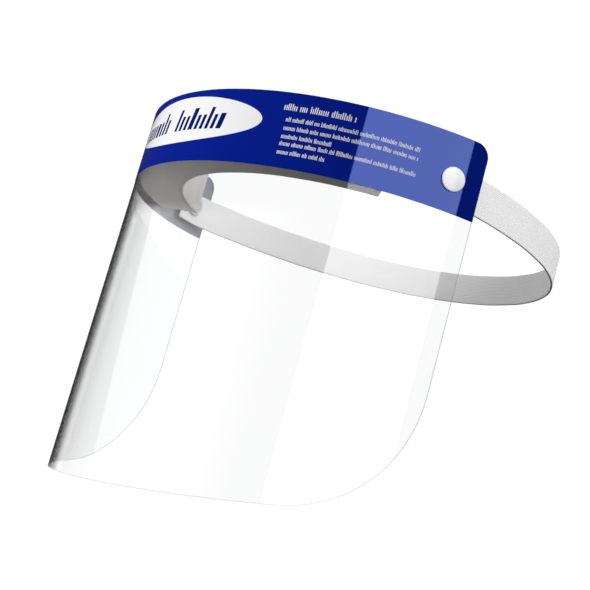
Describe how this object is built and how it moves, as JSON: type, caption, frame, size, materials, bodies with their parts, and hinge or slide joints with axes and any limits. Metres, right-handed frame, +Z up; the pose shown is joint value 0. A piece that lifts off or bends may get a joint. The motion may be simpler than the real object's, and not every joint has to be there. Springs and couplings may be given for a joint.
{
  "type": "face shield",
  "caption": "Disposable face shield: clear bent visor with a printed header band, foam forehead pad, and an elastic head strap on snap rivets.",
  "frame": {"origin": "where the forehead touches: the middle of the foam pad's inner face", "axes": "+X to the wearer's left, +Y backwards into the head, +Z up"},
  "size_m": [0.2358, 0.2349, 0.195],
  "materials": {
    "clear_sheet": "clear glossy PET sheet",
    "blue_print": "glossy blue print on the clear sheet",
    "white_print": "glossy white print on the blue band",
    "tape": "translucent double-sided tape",
    "foam": "soft grey open-cell polyurethane foam",
    "elastic": "white knitted elastic webbing",
    "rivet_plastic": "glossy white moulded plastic"
  },
  "bodies": {
    "shield": {"visor": "clear_sheet", "header_band": "blue_print", "foam_tape": "tape", "foam_pad": "foam"},
    "strap": {"strap": "elastic"},
    "rivet_left": {"rivet_cap_left": "rivet_plastic", "rivet_socket_left": "rivet_plastic"},
    "rivet_right": {"rivet_cap_right": "rivet_plastic", "rivet_socket_right": "rivet_plastic"}
  },
  "joints": [
    {"name": "strap_swing", "type": "hinge", "parent": "shield", "child": "strap", "pos_m": [0, 0.05788, -0.0033], "axis": [1, 0, 0], "range_deg": [-20, 20]},
    {"name": "rivet_spin_left", "type": "hinge", "parent": "shield", "child": "rivet_left", "pos_m": [0.11394, 0.0572, -0.0033], "axis": [0.9495, -0.3137, 0], "continuous": true},
    {"name": "rivet_spin_right", "type": "hinge", "parent": "shield", "child": "rivet_right", "pos_m": [-0.11394, 0.0572, -0.0033], "axis": [-0.9495, -0.3137, 0], "continuous": true}
  ]
}
